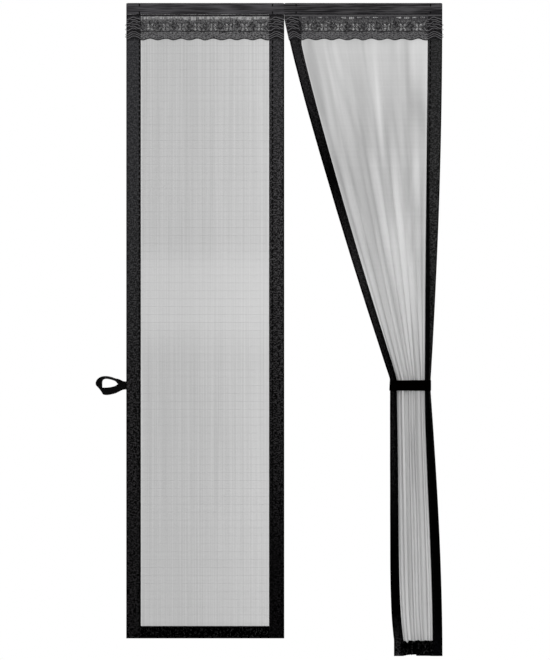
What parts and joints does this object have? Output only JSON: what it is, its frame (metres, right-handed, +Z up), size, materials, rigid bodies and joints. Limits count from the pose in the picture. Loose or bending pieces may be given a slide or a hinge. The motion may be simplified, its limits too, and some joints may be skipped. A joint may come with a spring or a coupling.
{
  "type": "magnetic insect screen",
  "caption": "Magnetic insect screen for a doorway: two net leaves bound in black tape, with lace along the top and ribbon tie loops; one leaf is drawn aside and tied.",
  "frame": {"origin": "midway between the two leaves at their top edge, on the headers' back faces, where the screen is fixed to the door frame's head", "axes": "+Z up along the drop, +Y towards the door frame behind the screen, +X towards the leaf that is drawn aside"},
  "size_m": [1.0981, 0.0672, 2.067],
  "materials": {
    "binding_tape": "matt black ribbed polyester tape with a brushed loop back",
    "net": "fine open grey polyester mesh",
    "lace": "soft black floral lace, partly see-through",
    "ribbon": "plain black ribbon with a faint sheen",
    "magnet": "dull dark grey pressed ferrite"
  },
  "bodies": {
    "root": {"left_header_tape": "binding_tape", "right_header_tape": "binding_tape", "left_outer_tape": "binding_tape", "right_outer_tape": "binding_tape", "left_magnet_tape": "binding_tape", "right_magnet_tape": "binding_tape", "left_hem_tape": "binding_tape", "right_hem_tape": "binding_tape", "left_net_panel": "net", "right_net_panel": "net", "left_lace_valance": "lace", "right_lace_valance": "lace", "left_tie_loop": "ribbon", "right_tie_loop": "ribbon", "left_magnet_01": "magnet", "left_magnet_02": "magnet", "left_magnet_03": "magnet", "left_magnet_04": "magnet", "left_magnet_05": "magnet", "left_magnet_06": "magnet", "left_magnet_07": "magnet", "left_magnet_08": "magnet", "left_magnet_09": "magnet", "left_magnet_10": "magnet", "left_magnet_11": "magnet", "left_magnet_12": "magnet", "right_magnet_01": "magnet", "right_magnet_02": "magnet", "right_magnet_03": "magnet", "right_magnet_04": "magnet", "right_magnet_05": "magnet", "right_magnet_06": "magnet", "right_magnet_07": "magnet", "right_magnet_08": "magnet", "right_magnet_09": "magnet", "right_magnet_10": "magnet", "right_magnet_11": "magnet", "right_magnet_12": "magnet"}
  },
  "joints": []
}
